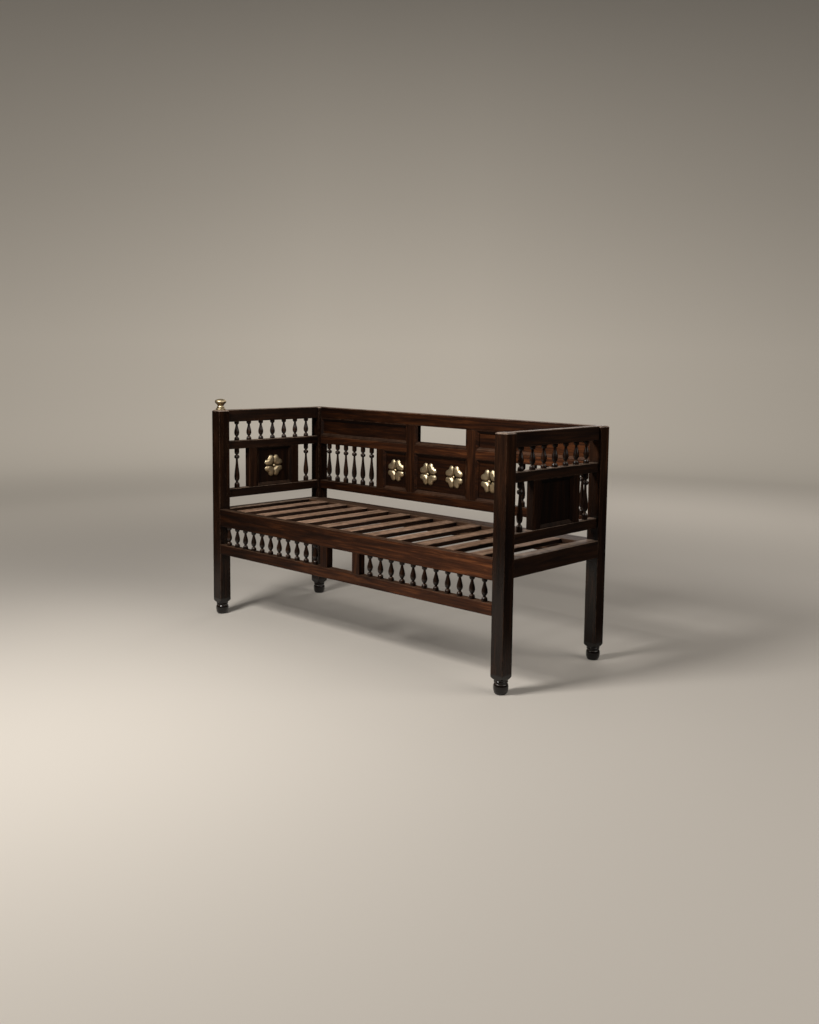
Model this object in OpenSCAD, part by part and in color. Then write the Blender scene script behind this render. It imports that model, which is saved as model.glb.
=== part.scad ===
// Slatted hardwood settee with open arms and back, turned spindles and brass rosettes.
// X runs along the length, the front faces -Y, Z is up. The origin is on the floor at the middle.

/* [Overall] */
// Length over the corner posts
settee_length = 1560; // [1400:10:1900]
// Depth over the corner posts
settee_depth = 585; // [540:5:700]
// Height of the seat's top surface above the floor
seat_height = 445; // [420:5:480]

/* [Posts and feet] */
// Width of each square corner post
post_width = 50; // [48:1:58]
// Chamfer along the edges of the posts
post_edge = 1; // [0.5:0.5:4]
// Height of the turned foot, up to where the post is fully square
foot_height = 59; // [52:1:72]
// Height over which the square post is turned down to the foot's ring
foot_taper = 12; // [8:1:15]
// Diameter of the ring at the top of the foot
foot_ring_width = 48; // [42:1:48]
// Height of that ring
foot_ring_height = 8.5; // [6:0.5:12]
// Diameter of the foot's neck
foot_neck_width = 40; // [32:1:41]
// Diameter of the foot's bulb at its widest
foot_bulb_width = 51; // [45:1:56]
// Diameter of the flat pad that stands on the floor
foot_pad_width = 32; // [24:1:38]

/* [Rails of the arms and the back] */
// Thickness of the rails, stiles and apron pieces
rail_thickness = 30; // [28:1:36]
// Chamfer along the edges of rails, stiles and slats
rail_edge = 1.5; // [0.5:0.5:2.5]
// Height of the top rails
top_rail_height = 50; // [40:1:60]
// Clear height of the row under the top rails
upper_row_height = 80; // [70:1:110]
// Height of the middle rails
mid_rail_height = 34; // [32:1:44]
// Clear height of the row of panels and tall spindles
lower_row_height = 166; // [140:1:200]
// Height of the lower rails
lower_rail_height = 36; // [30:1:46]
// Gap between the seat and the lower rails
seat_gap = 44; // [30:1:60]

/* [Back layout] */
// Clear width of the middle panel, which carries two rosettes
centre_panel_width = 288; // [268:2:340]
// Clear width of each side panel, which carries one rosette
side_panel_width = 140; // [130:2:160]
// Width of the two stiles that run from the lower to the top rail
main_stile_width = 44; // [40:1:54]
// Width of the two short stiles beside the spindles
short_stile_width = 42; // [34:1:50]
// Distance of the two middle rosettes from the middle of the back
rosette_offset = 71; // [60:1:80]
// Number of tall spindles on each side of the back
back_spindle_count = 6; // [4:1:7]

/* [Arm layout] */
// Clear width of the panel in each arm
arm_panel_width = 190; // [150:2:210]
// Width of the two stiles in each arm
arm_stile_width = 38; // [34:1:46]
// Number of short spindles in each arm
arm_spindle_count = 7; // [4:1:8]

/* [Seat] */
// Thickness of the front and back seat rails
seat_rail_thickness = 30; // [26:1:36]
// Height of the front and back seat rails
front_rail_height = 70; // [60:1:90]
// Height of the side seat rails
side_rail_height = 62; // [54:1:80]
// Width of each slat
slat_width = 56; // [50:1:90]
// Thickness of the slats and of the board behind them
slat_thickness = 16; // [12:1:26]
// Depth of the board between the slats and the back rail
back_board_depth = 58; // [30:1:80]
// How far each end of a slat rests on its support
slat_rest = 20; // [14:1:30]
// Height of the supports under the ends of the slats
support_height = 25; // [18:1:30]

/* [Front apron] */
// Clear height of the apron's row of spindles
apron_row_height = 77; // [68:1:110]
// Height of the apron's lower rail
apron_rail_height = 40; // [30:1:50]
// Clear width of the window in the apron
apron_window_width = 136; // [100:2:180]
// Width of the two stiles beside that window
apron_stile_width = 38; // [30:1:46]
// Number of short spindles on each side of the window
apron_spindle_count = 11; // [7:1:12]

/* [Panels and mouldings] */
// Thickness of the panels
panel_thickness = 12; // [8:1:14]
// Depth of the grooves that hold the panels
groove_depth = 6; // [4:0.5:8]
// Width of the bevelled mouldings
moulding_width = 13; // [8:1:16]
// Thickness of a moulding along its thin inner edge
moulding_lip = 2.5; // [1.5:0.5:4]
// How far the mouldings lie below the face of the frame
moulding_step = 0.5; // [0:0.5:2]

/* [Spindles] */
// Diameter of a spindle at its belly, beads and base
spindle_width = 22; // [20:1:26]
// Diameter of a spindle at its thin necks
spindle_neck = 9; // [7:0.5:11]
// Diameter of the pin on each end of a spindle
pin_width = 10; // [8:0.5:12]
// Length of that pin
pin_length = 9.5; // [6:0.5:10]
// Height of the base of a short spindle
short_base_height = 15; // [12:1:18]
// Height of the collar at the top of a short spindle
short_collar_height = 13; // [9:1:16]
// Height of the base of a tall spindle
tall_base_height = 23; // [16:1:30]
// Height of the block at the top of a tall spindle
tall_block_height = 24; // [18:1:28]
// Height of the ring bead under that block
ring_bead_height = 16; // [10:1:18]

/* [Brass] */
// Distance of each petal lobe from the centre of a rosette
lobe_distance = 31; // [29:0.5:33]
// Radius of each petal lobe where it meets the panel
lobe_radius = 18; // [16:0.5:20]
// Height of the lobes above the panel
lobe_height = 7; // [5:0.5:9]
// Width of the valley between two petals
valley_width = 1.6; // [1:0.1:3]
// Diameter of the domed nail in the centre of a rosette
nail_head_width = 13; // [10:0.5:16]
// Diameter of the shank of that nail
nail_shank_width = 4; // [3:0.5:5]
// Length of the shank inside the panel
nail_depth = 7; // [4:0.5:7.5]
// Height of the finial above the post
finial_height = 46; // [40:1:60]
// Diameter of the finial's knob
finial_knob_width = 46; // [38:1:50]
// Diameter of the finial's neck
finial_neck_width = 24; // [18:1:28]
// Diameter of the disc at the foot of the finial
finial_disc_width = 40; // [34:1:41]
// Diameter of the stud that holds the finial
stud_width = 10; // [8:0.5:12]
// Length of that stud
stud_length = 22; // [15:1:30]

/* [Joints] */
// Thickness of the tenons
tenon_thickness = 10; // [8:0.5:12]
// Length of the tenons that enter the posts
tenon_length = 18; // [14:0.5:18]
// Length of the tenons that enter rails and stiles
short_tenon_length = 12; // [8:0.5:13]
// Shoulder above and below, or beside, each tenon
tenon_shoulder = 6; // [5:0.5:8]
// Clearance all round tenons, pins, studs, shanks and panel edges
joint_clearance = 0.2; // [0.1:0.05:0.4]

/* [Hidden] */
$fn = 64;
wood = "#3d2318";
wood_lit = "#5a3321";
brass = "#b8975a";
// Smallest overlap that joins two shapes of one piece
bite = 1;
// Number of slats: each one is a node of its own
slat_count = 11;
// Chamfer round the flat tops of the posts
post_top_edge = 4.5;
// Where the bulb of the foot is widest, as a share of its height
foot_bulb_place = 0.67;
// Where the vases of the short and the tall spindles are widest, as shares of their heights
short_vase_place = 0.32;
tall_vase_place = 0.22;
// Straight band at the two ends of a short spindle
spindle_band = 4;

// Heights, counted up from the floor
lower_rail_bottom = seat_height + seat_gap;
lower_row_bottom = lower_rail_bottom + lower_rail_height;
lower_row_top = lower_row_bottom + lower_row_height;
upper_row_bottom = lower_row_top + mid_rail_height;
upper_row_top = upper_row_bottom + upper_row_height;
settee_height = upper_row_top + top_rail_height;
front_rail_bottom = seat_height - front_rail_height;
side_rail_bottom = seat_height - side_rail_height;
apron_row_bottom = front_rail_bottom - apron_row_height;
apron_rail_bottom = apron_row_bottom - apron_rail_height;
slat_bottom = seat_height - slat_thickness;

// Places along the length and the depth
post_x = (settee_length - post_width) / 2;
post_y = (settee_depth - post_width) / 2;
inner_x = post_x - post_width / 2;
inner_y = post_y - post_width / 2;
front_rail_y = post_y + post_width / 2 - seat_rail_thickness / 2;
back_rail_y = inner_y + seat_rail_thickness / 2;
apron_y = post_y + post_width / 2 - rail_thickness / 2;
slat_front = front_rail_y - seat_rail_thickness / 2;
slat_back = inner_y - back_board_depth;
stile_1 = centre_panel_width / 2;
stile_2 = stile_1 + main_stile_width;
stile_3 = stile_2 + side_panel_width;
stile_4 = stile_3 + short_stile_width;
arm_stile_1 = arm_panel_width / 2;
arm_stile_2 = arm_stile_1 + arm_stile_width;
apron_stile_1 = apron_window_width / 2;
apron_stile_2 = apron_stile_1 + apron_stile_width;
panel_face = panel_thickness / 2;

// Outline of a bar with chamfered corners, from its four sides and the chamfer
function bar_outline(a0, a1, b0, b1, e) = [
    [a0 + e, b0], [a1 - e, b0], [a1, b0 + e], [a1, b1 - e],
    [a1 - e, b1], [a0 + e, b1], [a0, b1 - e], [a0, b0 + e]
];

// Centres of a row of equal things of one width, with equal gaps between them and at both ends
function row_centres(from, to, count, width) =
    let (gap = (to - from - count * width) / (count + 1))
    [for (i = [0 : count - 1]) from + gap + width / 2 + i * (gap + width)];

// Points of a curve that swells between two necks; peak is where the belly lies, from 0 to 1
function swell(z0, z1, r0, r1, belly, peak, steps) =
    let (bend = ln(0.5) / ln(peak))
    [for (i = [0 : steps])
        let (t = i / steps)
        let (base = r0 + (r1 - r0) * t)
        [base + (belly - base) * pow(sin(180 * pow(t, bend)), 1.5), z0 + (z1 - z0) * t]];

// Points of quarter curves: a shoulder rounds inwards as it rises, and a cup rounds outwards
function shoulder(z0, z1, r0, r1, steps) =
    [for (i = [0 : steps])
        let (a = 90 * i / steps)
        [r1 + (r0 - r1) * cos(a), z0 + (z1 - z0) * sin(a)]];

function cup(z0, z1, r0, r1, steps) =
    [for (i = [0 : steps])
        let (a = 90 * i / steps)
        [r0 + (r1 - r0) * sin(a), z0 + (z1 - z0) * (1 - cos(a))]];

// Points of an S curve that opens from r0 to r1
function flare(z0, z1, r0, r1, steps) =
    [for (i = [0 : steps])
        let (t = i / steps)
        [r0 + (r1 - r0) * pow(sin(90 * t), 2), z0 + (z1 - z0) * t]];

// Points of a round bead
function bead(z0, z1, r0, r1, steps) =
    [for (i = [0 : steps])
        let (a = 180 * i / steps)
        [r0 + (r1 - r0) * sin(a), (z0 + z1) / 2 - (z1 - z0) / 2 * cos(a)]];

// Bars along each direction
module bar_x(x0, x1, y0, y1, z0, z1, e) {
    translate([x0, 0, 0])
        rotate([90, 0, 90])
        linear_extrude(x1 - x0)
        polygon(bar_outline(y0, y1, z0, z1, e));
}

module bar_y(x0, x1, y0, y1, z0, z1, e) {
    translate([0, y1, 0])
        rotate([90, 0, 0])
        linear_extrude(y1 - y0)
        polygon(bar_outline(x0, x1, z0, z1, e));
}

module bar_z(x0, x1, y0, y1, z0, z1, e) {
    translate([0, 0, z0])
        linear_extrude(z1 - z0)
        polygon(bar_outline(x0, x1, y0, y1, e));
}

module block(x0, x1, y0, y1, z0, z1) {
    translate([x0, y0, z0])
        cube([x1 - x0, y1 - y0, z1 - z0]);
}

// A block that is the tenon when grow is 0, and the mortise when grow is the clearance
module tongue_x(x0, x1, z0, z1, grow) {
    block(x0, x1, -tenon_thickness / 2 - grow, tenon_thickness / 2 + grow,
        z0 + tenon_shoulder - grow, z1 - tenon_shoulder + grow);
}

module tongue_z(x0, x1, z0, z1, grow) {
    block(x0 + tenon_shoulder - grow, x1 - tenon_shoulder + grow,
        -tenon_thickness / 2 - grow, tenon_thickness / 2 + grow, z0, z1);
}

// Frame pieces, drawn on a plane at y = 0 whose good face looks towards -Y
module frame_rail(x0, x1, z0, z1, tongue) {
    bar_x(x0, x1, -rail_thickness / 2, rail_thickness / 2, z0, z1, rail_edge);
    tongue_x(x0 - tongue, x0 + bite, z0, z1, 0);
    tongue_x(x1 - bite, x1 + tongue, z0, z1, 0);
}

module frame_stile(x0, x1, z0, z1) {
    bar_z(x0, x1, -rail_thickness / 2, rail_thickness / 2, z0, z1, rail_edge);
    tongue_z(x0, x1, z0 - short_tenon_length, z0 + bite, 0);
    tongue_z(x0, x1, z1 - bite, z1 + short_tenon_length, 0);
}

// Mortises for both ends of a stile that stands between z0 and z1
module stile_mortises(x0, x1, z0, z1) {
    depth = short_tenon_length + joint_clearance;
    tongue_z(x0, x1, z0 - depth, z0 + bite, joint_clearance);
    tongue_z(x0, x1, z1 - bite, z1 + depth, joint_clearance);
}

// The panel is this block, and the groove round it is the same block, grown
module panel_block(x0, x1, z0, z1, grow) {
    reach = groove_depth - joint_clearance + grow;
    block(x0 - reach, x1 + reach, -panel_face - grow, panel_face + grow, z0 - reach, z1 + reach);
}

// Holes for the pins of a row of spindles between z0 and z1
module pin_holes(xs, z0, z1) {
    depth = pin_length + joint_clearance;
    for (x = xs)
        translate([x, 0, z0 - depth])
            cylinder(d = pin_width + 2 * joint_clearance, h = z1 - z0 + 2 * depth);
}

// A bevelled strip along the bottom edge of an opening, mitred at either end
module moulding_strip(length, mitre_low, mitre_high) {
    top = -rail_thickness / 2 + moulding_step;
    face = -panel_face;
    half = length / 2 - joint_clearance / 2;
    low = mitre_low ? 1 : 0;
    high = mitre_high ? 1 : 0;
    intersection() {
        rotate([90, 0, 90])
            linear_extrude(length + 2 * bite, center = true)
            polygon([[face, 0], [top, 0], [top, moulding_lip],
                [face - moulding_lip, moulding_width], [face, moulding_width]]);
        rotate([90, 0, 0])
            linear_extrude(2 * rail_thickness, center = true)
            polygon([[-half - low * bite, -bite], [half + high * bite, -bite],
                [half - high * (moulding_width + bite), moulding_width + bite],
                [-half + low * (moulding_width + bite), moulding_width + bite]]);
    }
}

// Strips round an opening; the window has none along its top
module moulding_ring(x0, x1, z0, z1, with_top) {
    width = x1 - x0;
    height = z1 - z0;
    translate([(x0 + x1) / 2, 0, (z0 + z1) / 2]) {
        translate([0, 0, -height / 2])
            moulding_strip(width, true, true);
        rotate([0, 90, 0])
            translate([0, 0, -width / 2])
            moulding_strip(height, with_top, true);
        rotate([0, -90, 0])
            translate([0, 0, -width / 2])
            moulding_strip(height, true, with_top);
        if (with_top)
            rotate([0, 180, 0])
                translate([0, 0, -height / 2])
                moulding_strip(width, true, true);
    }
}

// The same ring on the good face and on the other face
module moulding_rings(x0, x1, z0, z1, with_top) {
    moulding_ring(x0, x1, z0, z1, with_top);
    mirror([0, 1, 0])
        moulding_ring(x0, x1, z0, z1, with_top);
}

// Turned spindles, standing on z = 0, with a pin at each end
module short_spindle(height) {
    wide = spindle_width / 2;
    neck = spindle_neck / 2;
    pin = pin_width / 2;
    collar_bottom = height - short_collar_height;
    rotate_extrude()
        polygon(concat(
            [[0, -pin_length], [pin, -pin_length], [pin, 0], [wide - 1, 0], [wide - 0.5, 1]],
            shoulder(spindle_band, short_base_height, wide - 0.5, neck + 0.5, 6),
            swell(short_base_height + 2.5, collar_bottom - 1, neck, neck, wide - 0.5,
                short_vase_place, 16),
            cup(collar_bottom, height - spindle_band, neck, wide - 1, 6),
            [[wide - 1, height - 1], [wide - 2, height]],
            [[pin, height], [pin, height + pin_length], [0, height + pin_length]]));
}

module tall_spindle(height) {
    wide = spindle_width / 2;
    neck = spindle_neck / 2;
    pin = pin_width / 2;
    block_bottom = height - tall_block_height;
    ring_top = block_bottom - 3;
    ring_bottom = ring_top - ring_bead_height;
    rotate_extrude()
        polygon(concat(
            [[0, -pin_length], [pin, -pin_length], [pin, 0], [wide - 1, 0], [wide, 1]],
            shoulder(tall_base_height / 2, tall_base_height, wide, neck + 0.5, 6),
            bead(tall_base_height + 0.5, tall_base_height + 4, neck, neck + 1, 3),
            swell(tall_base_height + 4.5, ring_bottom - 3, neck, neck, wide, tall_vase_place, 18),
            bead(ring_bottom, ring_top, neck, wide, 8),
            cup(block_bottom, block_bottom + 8, neck, wide - 1, 6),
            [[wide - 1, height - 1], [wide - 2, height]],
            [[pin, height], [pin, height + pin_length], [0, height + pin_length]]));
}

module short_spindles(xs, z0, z1) {
    for (x = xs)
        translate([x, 0, z0])
            short_spindle(z1 - z0);
}

module tall_spindles(xs) {
    for (x = xs)
        translate([x, 0, lower_row_bottom])
            tall_spindle(lower_row_height);
}

// Planes of the frames: the back as it is, each arm turned so that its good face looks inwards
module on_back() {
    translate([0, post_y, 0])
        children();
}

module on_arm(side) {
    translate([side * post_x, 0, 0])
        rotate([0, 0, -90 * side])
        children();
}

module on_apron() {
    translate([0, -apron_y, 0])
        children();
}

module on_seat_front() {
    translate([0, -front_rail_y, 0])
        children();
}

module mirror_left(side) {
    mirror([side < 0 ? 1 : 0, 0, 0])
        children();
}

// Rows of spindles
arm_tall_y = (arm_stile_2 + inner_y) / 2;
arm_tall_row = [-arm_tall_y, arm_tall_y];
arm_short_row = [for (i = [0 : arm_spindle_count - 1])
    (2 * i / (arm_spindle_count - 1) - 1) * arm_tall_y];
back_row = row_centres(stile_4, inner_x, back_spindle_count, spindle_width);
apron_row = row_centres(apron_stile_2, inner_x, apron_spindle_count, spindle_width);
slat_row = row_centres(-inner_x, inner_x, slat_count, slat_width);

// Panels of the back, each as a block or as the groove for it
module back_upper_panel_blocks(grow) {
    for (side = [-1, 1])
        mirror_left(side)
            panel_block(stile_2, inner_x, upper_row_bottom, upper_row_top, grow);
}

module back_lower_panel_blocks(grow) {
    panel_block(-stile_1, stile_1, lower_row_bottom, lower_row_top, grow);
    for (side = [-1, 1])
        mirror_left(side)
            panel_block(stile_2, stile_3, lower_row_bottom, lower_row_top, grow);
}

module back_grooves() {
    back_upper_panel_blocks(joint_clearance);
    back_lower_panel_blocks(joint_clearance);
}

module arm_panel_block(grow) {
    panel_block(-arm_stile_1, arm_stile_1, lower_row_bottom, lower_row_top, grow);
}

// Turned foot and square shaft of a corner post, centred on its own axis
module post_shaft() {
    shaft_bottom = foot_height - foot_taper;
    ring_bottom = shaft_bottom - foot_ring_height;
    half = post_width / 2;
    corner = norm([half, half - post_edge]);
    bulb_top = ring_bottom - 1.5;
    bulb_middle = foot_bulb_place * bulb_top;
    intersection() {
        bar_z(-half, half, -half, half, shaft_bottom, settee_height, post_edge);
        bar_x(-half, half, -half, half, 0, settee_height, post_top_edge);
        bar_y(-half, half, -half, half, 0, settee_height, post_top_edge);
        rotate_extrude()
            polygon(concat(
                [[0, shaft_bottom]],
                flare(shaft_bottom, foot_height, foot_ring_width / 2, corner, 8),
                [[corner + bite, foot_height + bite], [corner + bite, settee_height + bite]],
                [[0, settee_height + bite]]));
    }
    rotate_extrude()
        polygon(concat(
            [[0, 0]],
            cup(0, bulb_middle, foot_pad_width / 2, foot_bulb_width / 2, 8),
            shoulder(bulb_middle + 0.5, bulb_top, foot_bulb_width / 2, foot_neck_width / 2, 6),
            [[foot_neck_width / 2, ring_bottom - 0.5]],
            bead(ring_bottom, shaft_bottom, foot_neck_width / 2 + 1, foot_ring_width / 2, 6),
            [[foot_neck_width / 2, shaft_bottom + bite], [0, shaft_bottom + bite]]));
}

// Mortises on the inner faces of a post, drawn for the back right corner
module frame_mortises(z_ranges) {
    depth = tenon_length + joint_clearance;
    for (z = z_ranges)
        tongue_x(-post_width / 2 - bite, -post_width / 2 + depth, z[0], z[1], joint_clearance);
}

frame_rails_z = [
    [upper_row_top, settee_height], [lower_row_top, upper_row_bottom],
    [lower_rail_bottom, lower_row_bottom]
];

// Mortises for the rails of an arm, which enter a post along Y
module arm_mortises() {
    rotate([0, 0, 90])
        frame_mortises(concat(frame_rails_z, [[side_rail_bottom, seat_height]]));
}

module post(side, end) {
    color(wood)
        difference() {
            translate([side * post_x, end * post_y, 0])
                mirror([side < 0 ? 1 : 0, 0, 0])
                mirror([0, end < 0 ? 1 : 0, 0])
                difference() {
                    post_shaft();
                    arm_mortises();
                    if (end > 0) {
                        frame_mortises(frame_rails_z);
                        translate([0, back_rail_y - post_y, 0])
                            frame_mortises([[front_rail_bottom, seat_height]]);
                    } else {
                        translate([0, front_rail_y - post_y, 0])
                            frame_mortises([[front_rail_bottom, seat_height]]);
                        translate([0, apron_y - post_y, 0])
                            frame_mortises([[apron_rail_bottom, apron_row_bottom]]);
                    }
                    if (side < 0 && end < 0)
                        translate([0, 0, settee_height - stud_length - joint_clearance])
                            cylinder(d = stud_width + 2 * joint_clearance, h = stud_length + bite);
                }
            if (end > 0)
                on_back()
                    back_upper_panel_blocks(joint_clearance);
        }
}

module finial() {
    disc = finial_disc_width / 2;
    neck = finial_neck_width / 2;
    knob = finial_knob_width / 2;
    disc_top = 0.18 * finial_height;
    ring_top = 0.31 * finial_height;
    knob_bottom = 0.36 * finial_height;
    knob_middle = 0.73 * finial_height;
    color(brass)
        translate([-post_x, -post_y, settee_height])
        rotate_extrude()
        polygon(concat(
            [[0, -stud_length], [stud_width / 2, -stud_length], [stud_width / 2, 0]],
            [[disc - 0.5, 0]],
            shoulder(disc_top / 2, disc_top, disc, neck + 1, 6),
            bead(disc_top + 0.5, ring_top, neck + 0.5, neck + 2.5, 6),
            flare(knob_bottom, knob_middle, neck, knob, 10),
            [for (i = [1 : 10])
                let (a = 9 * i)
                [knob * cos(a), knob_middle + (finial_height - knob_middle) * pow(sin(a), 0.8)]]));
}

// Seat
module seat_front_rail() {
    color(wood_lit)
        on_seat_front()
        difference() {
            union() {
                bar_x(-inner_x, inner_x, -seat_rail_thickness / 2, seat_rail_thickness / 2,
                    front_rail_bottom, seat_height, rail_edge);
                tongue_x(-inner_x - tenon_length, -inner_x + bite, front_rail_bottom, seat_height, 0);
                tongue_x(inner_x - bite, inner_x + tenon_length, front_rail_bottom, seat_height, 0);
            }
            translate([0, front_rail_y - apron_y, 0])
                apron_sockets();
        }
}

module seat_back_rail() {
    color(wood)
        translate([0, back_rail_y, 0]) {
            bar_x(-inner_x, inner_x, -seat_rail_thickness / 2, seat_rail_thickness / 2,
                front_rail_bottom, seat_height, rail_edge);
            tongue_x(-inner_x - tenon_length, -inner_x + bite, front_rail_bottom, seat_height, 0);
            tongue_x(inner_x - bite, inner_x + tenon_length, front_rail_bottom, seat_height, 0);
        }
}

module seat_side_rail(side) {
    color(wood)
        on_arm(side) {
            bar_x(-inner_y, inner_y, -post_width / 2, post_width / 2,
                side_rail_bottom, seat_height, rail_edge);
            tongue_x(-inner_y - tenon_length, -inner_y + bite, side_rail_bottom, seat_height, 0);
            tongue_x(inner_y - bite, inner_y + tenon_length, side_rail_bottom, seat_height, 0);
        }
}

module seat_front_support() {
    color(wood)
        block(-inner_x, inner_x, -slat_front, -slat_front + slat_rest,
            slat_bottom - support_height, slat_bottom);
}

module seat_back_support() {
    color(wood)
        block(-inner_x, inner_x, slat_back - slat_rest, inner_y,
            slat_bottom - support_height, slat_bottom);
}

module seat_back_board() {
    color(wood_lit)
        bar_x(-inner_x, inner_x, slat_back, inner_y, slat_bottom, seat_height, rail_edge);
}

module slat(i) {
    color(wood_lit)
        bar_y(slat_row[i - 1] - slat_width / 2, slat_row[i - 1] + slat_width / 2,
            -slat_front, slat_back, slat_bottom, seat_height, rail_edge);
}

// Front apron
module apron_sockets() {
    for (side = [-1, 1])
        mirror_left(side) {
            stile_mortises(apron_stile_1, apron_stile_2, apron_row_bottom, front_rail_bottom);
            pin_holes(apron_row, apron_row_bottom, front_rail_bottom);
        }
}

module apron_rail() {
    color(wood)
        on_apron()
        difference() {
            frame_rail(-inner_x, inner_x, apron_rail_bottom, apron_row_bottom, tenon_length);
            apron_sockets();
        }
}

module apron_stile(side) {
    color(wood)
        on_apron()
        mirror_left(side)
        frame_stile(apron_stile_1, apron_stile_2, apron_row_bottom, front_rail_bottom);
}

module apron_spindles(side) {
    color(wood)
        on_apron()
        mirror_left(side)
        short_spindles(apron_row, apron_row_bottom, front_rail_bottom);
}

// Arms
module arm_top_rail(side) {
    color(wood)
        on_arm(side)
        difference() {
            frame_rail(-inner_y, inner_y, upper_row_top, settee_height, tenon_length);
            pin_holes(arm_short_row, upper_row_bottom, upper_row_top);
        }
}

module arm_sockets() {
    for (flip = [-1, 1])
        mirror_left(flip)
            stile_mortises(arm_stile_1, arm_stile_2, lower_row_bottom, lower_row_top);
    pin_holes(arm_tall_row, lower_row_bottom, lower_row_top);
    arm_panel_block(joint_clearance);
}

module arm_mid_rail(side) {
    color(wood)
        on_arm(side)
        difference() {
            frame_rail(-inner_y, inner_y, lower_row_top, upper_row_bottom, tenon_length);
            pin_holes(arm_short_row, upper_row_bottom, upper_row_top);
            arm_sockets();
        }
}

module arm_lower_rail(side) {
    color(wood)
        on_arm(side)
        difference() {
            frame_rail(-inner_y, inner_y, lower_rail_bottom, lower_row_bottom, tenon_length);
            arm_sockets();
        }
}

module arm_stiles(side) {
    color(wood)
        on_arm(side)
        difference() {
            for (flip = [-1, 1])
                mirror_left(flip)
                    frame_stile(arm_stile_1, arm_stile_2, lower_row_bottom, lower_row_top);
            arm_panel_block(joint_clearance);
        }
}

module arm_panel(side) {
    color(wood)
        on_arm(side)
        difference() {
            arm_panel_block(0);
            translate([0, 0, lower_row_middle])
                shank_hole();
        }
}

module arm_mouldings(side) {
    color(wood)
        on_arm(side)
        moulding_rings(-arm_stile_1, arm_stile_1, lower_row_bottom, lower_row_top, true);
}

module arm_short_spindles(side) {
    color(wood)
        on_arm(side)
        short_spindles(arm_short_row, upper_row_bottom, upper_row_top);
}

module arm_tall_spindles(side) {
    color(wood)
        on_arm(side)
        tall_spindles(arm_tall_row);
}

// Back
module back_stile_sockets() {
    for (side = [-1, 1])
        mirror_left(side) {
            stile_mortises(stile_1, stile_2, lower_row_bottom, upper_row_top);
            stile_mortises(stile_3, stile_4, lower_row_bottom, lower_row_top);
            pin_holes(back_row, lower_row_bottom, lower_row_top);
        }
}

module back_top_rail() {
    color(wood)
        on_back()
        difference() {
            frame_rail(-inner_x, inner_x, upper_row_top, settee_height, tenon_length);
            back_stile_sockets();
            back_grooves();
        }
}

module back_lower_rail() {
    color(wood)
        on_back()
        difference() {
            frame_rail(-inner_x, inner_x, lower_rail_bottom, lower_row_bottom, tenon_length);
            back_stile_sockets();
            back_grooves();
        }
}

module back_mid_rail(side) {
    color(wood)
        on_back()
        mirror_left(side)
        difference() {
            union() {
                bar_x(stile_2, inner_x, -rail_thickness / 2, rail_thickness / 2,
                    lower_row_top, upper_row_bottom, rail_edge);
                tongue_x(stile_2 - short_tenon_length, stile_2 + bite,
                    lower_row_top, upper_row_bottom, 0);
                tongue_x(inner_x - bite, inner_x + tenon_length, lower_row_top, upper_row_bottom, 0);
            }
            stile_mortises(stile_3, stile_4, lower_row_bottom, lower_row_top);
            pin_holes(back_row, lower_row_bottom, lower_row_top);
            back_grooves();
        }
}

module back_mid_rail_centre() {
    color(wood)
        on_back()
        difference() {
            frame_rail(-stile_1, stile_1, lower_row_top, upper_row_bottom, short_tenon_length);
            back_grooves();
        }
}

module back_stile(side) {
    depth = short_tenon_length + joint_clearance;
    color(wood)
        on_back()
        mirror_left(side)
        difference() {
            frame_stile(stile_1, stile_2, lower_row_bottom, upper_row_top);
            tongue_x(stile_1 - bite, stile_1 + depth, lower_row_top, upper_row_bottom, joint_clearance);
            tongue_x(stile_2 - depth, stile_2 + bite, lower_row_top, upper_row_bottom, joint_clearance);
            back_grooves();
        }
}

module back_short_stiles() {
    color(wood)
        on_back()
        difference() {
            for (side = [-1, 1])
                mirror_left(side)
                    frame_stile(stile_3, stile_4, lower_row_bottom, lower_row_top);
            back_grooves();
        }
}

module back_upper_panels() {
    color(wood)
        on_back()
        back_upper_panel_blocks(0);
}

module back_lower_panels() {
    color(wood)
        on_back()
        difference() {
            back_lower_panel_blocks(0);
            for (x = back_rosette_row)
                translate([x, 0, lower_row_middle])
                    shank_hole();
        }
}

module back_upper_mouldings() {
    color(wood)
        on_back() {
            for (side = [-1, 1])
                mirror_left(side)
                    moulding_rings(stile_2, inner_x, upper_row_bottom, upper_row_top, true);
            moulding_rings(-stile_1, stile_1, upper_row_bottom, upper_row_top, false);
        }
}

module back_lower_mouldings() {
    color(wood)
        on_back() {
            moulding_rings(-stile_1, stile_1, lower_row_bottom, lower_row_top, true);
            for (side = [-1, 1])
                mirror_left(side)
                    moulding_rings(stile_2, stile_3, lower_row_bottom, lower_row_top, true);
        }
}

module back_spindles(side) {
    color(wood)
        on_back()
        mirror_left(side)
        tall_spindles(back_row);
}

// Brass
lower_row_middle = (lower_row_bottom + lower_row_top) / 2;
side_rosette = (stile_2 + stile_3) / 2;
back_rosette_row = [-side_rosette, -rosette_offset, rosette_offset, side_rosette];
rosette_base = 2;
rosette_boss_height = 4.5;

// Hole for a nail's shank, from the good face of a panel
module shank_hole() {
    rotate([90, 0, 0])
        translate([0, 0, panel_face - nail_depth - joint_clearance])
        cylinder(d = nail_shank_width + 2 * joint_clearance, h = nail_depth + joint_clearance + bite);
}

// A round cap of the given radius and height on z = 0, as part of a sphere
module cap(radius, height) {
    sphere_radius = (radius * radius + height * height) / (2 * height);
    translate([0, 0, height - sphere_radius])
        sphere(sphere_radius);
}

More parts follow.
